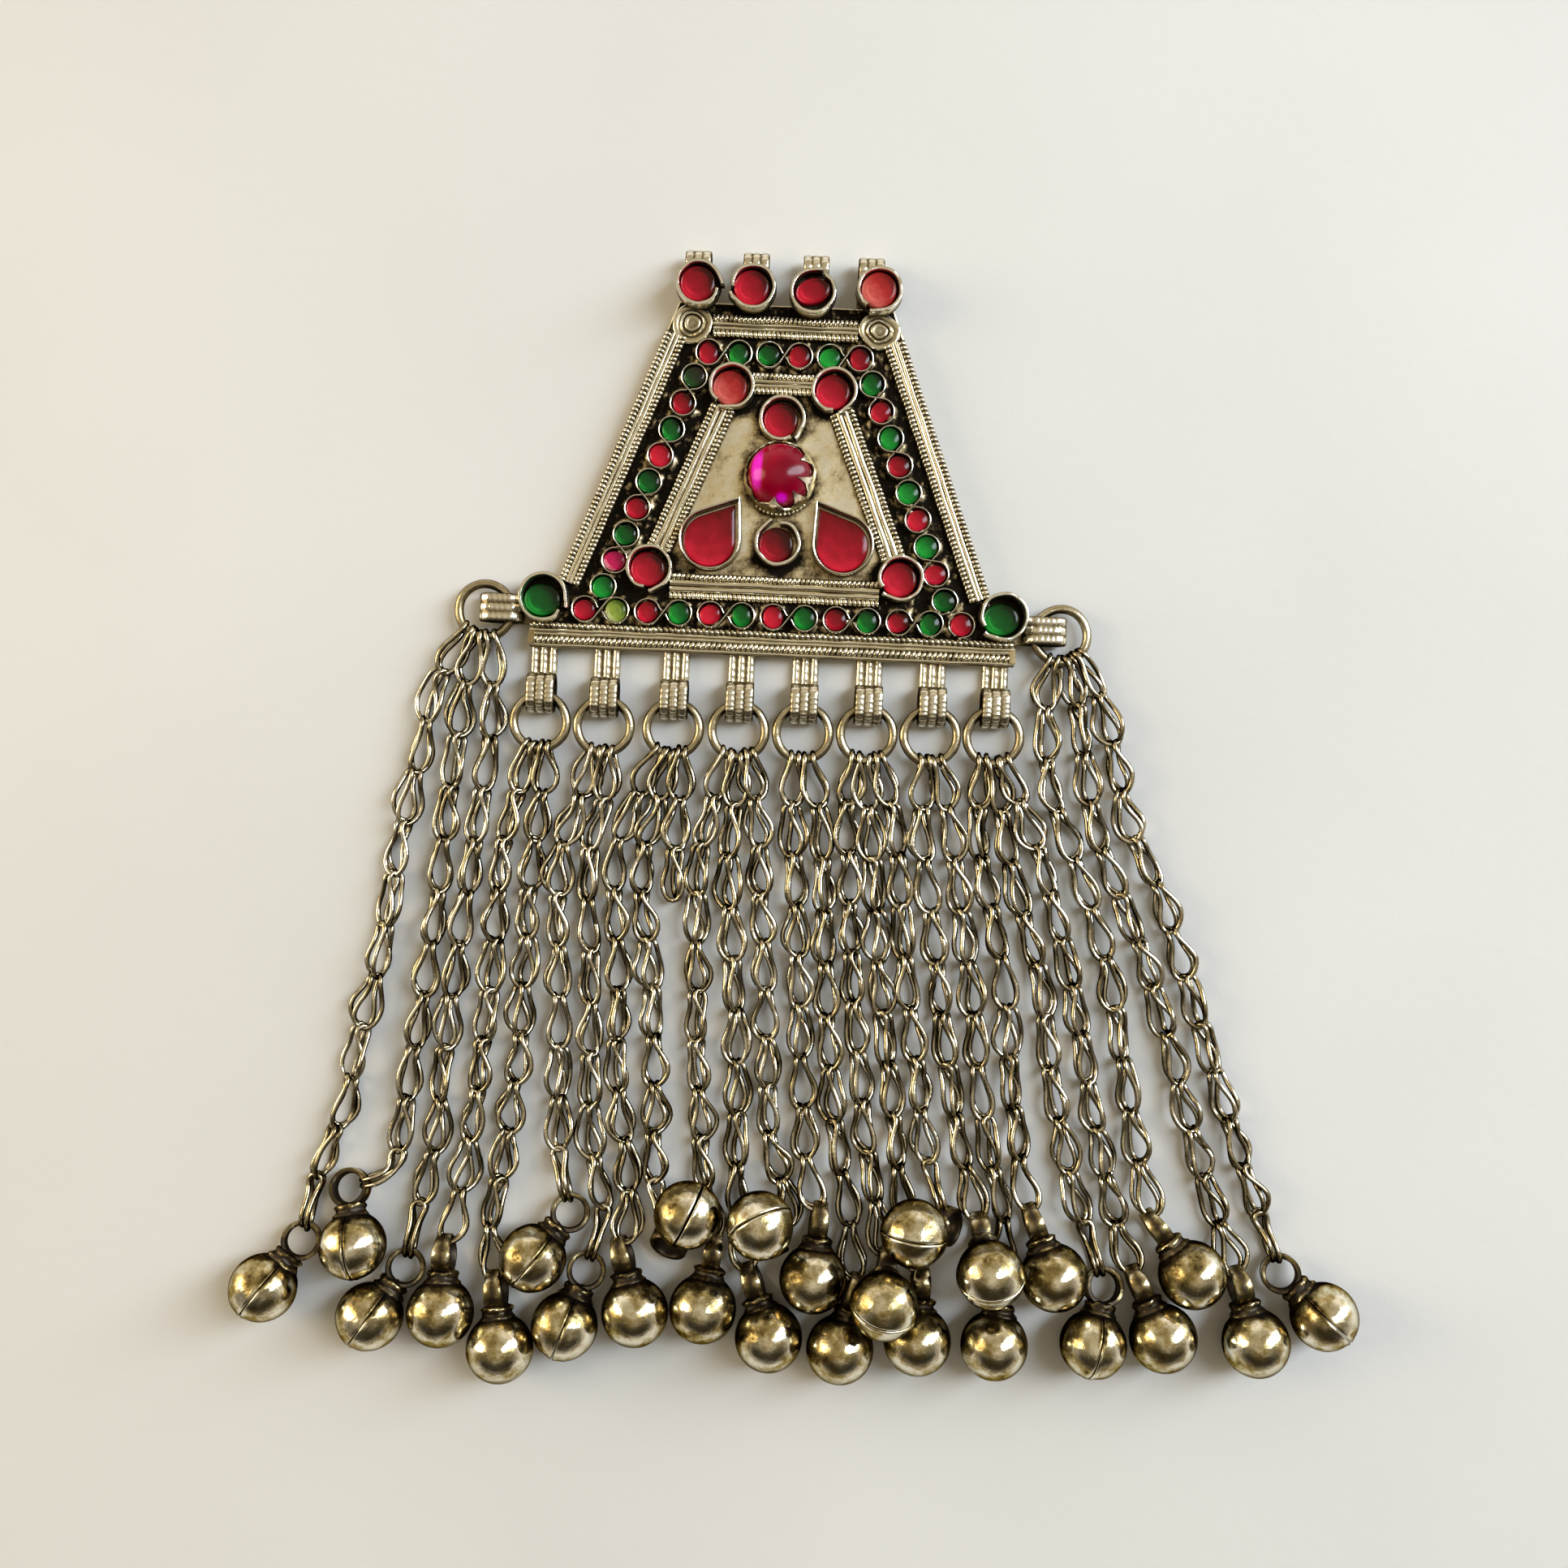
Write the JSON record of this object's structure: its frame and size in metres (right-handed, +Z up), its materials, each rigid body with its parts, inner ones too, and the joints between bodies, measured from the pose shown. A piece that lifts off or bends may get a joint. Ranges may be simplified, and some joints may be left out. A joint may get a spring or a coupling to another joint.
{
  "type": "tribal pendant",
  "caption": "Folk pendant lying flat: a trapezoid plate set with round glass stones, with loop chains that end in hollow round bells.",
  "frame": {"origin": "middle of the object's footprint, on the surface it lies on", "axes": "+X to the right and +Y from the bells towards the top bails, both along the plate; +Z up, out of the plate's decorated face"},
  "size_m": [0.1699, 0.1724, 0.016],
  "materials": {
    "plate_metal": "tarnished white metal",
    "ring_wire": "worn, tarnished",
    "chain_wire": "bright wire with dark patina",
    "bell_metal": "polished, warm tarnish",
    "magenta_glass": "polished",
    "red_glass": "polished",
    "green_glass": "polished"
  },
  "bodies": {
    "root": {"plate": "plate_metal", "rings": "ring_wire", "cabochon": "magenta_glass", "drop_stones": "red_glass", "red_stones": "red_glass", "corner_stones": "green_glass", "border_red_stones": "red_glass", "border_green_stones": "green_glass", "chain_stub": "chain_wire", "chain_01": "chain_wire", "chain_02": "chain_wire", "chain_03": "chain_wire", "chain_04": "chain_wire", "chain_05": "chain_wire", "chain_06": "chain_wire", "chain_07": "chain_wire", "chain_08": "chain_wire", "chain_09": "chain_wire", "chain_10": "chain_wire", "chain_11": "chain_wire", "chain_12": "chain_wire", "chain_13": "chain_wire", "chain_14": "chain_wire", "chain_15": "chain_wire", "chain_16": "chain_wire", "chain_17": "chain_wire", "chain_18": "chain_wire", "chain_19": "chain_wire", "chain_20": "chain_wire", "chain_21": "chain_wire", "chain_22": "chain_wire", "chain_23": "chain_wire", "chain_24": "chain_wire", "chain_25": "chain_wire", "bell_01": "bell_metal", "bell_02": "bell_metal", "bell_03": "bell_metal", "bell_04": "bell_metal", "bell_05": "bell_metal", "bell_06": "bell_metal", "bell_07": "bell_metal", "bell_08": "bell_metal", "bell_09": "bell_metal", "bell_10": "bell_metal", "bell_11": "bell_metal", "bell_12": "bell_metal", "bell_13": "bell_metal", "bell_14": "bell_metal", "bell_15": "bell_metal", "bell_16": "bell_metal", "bell_17": "bell_metal", "bell_18": "bell_metal", "bell_19": "bell_metal", "bell_20": "bell_metal", "bell_21": "bell_metal", "bell_22": "bell_metal", "bell_23": "bell_metal", "bell_24": "bell_metal", "bell_25": "bell_metal"}
  },
  "joints": []
}
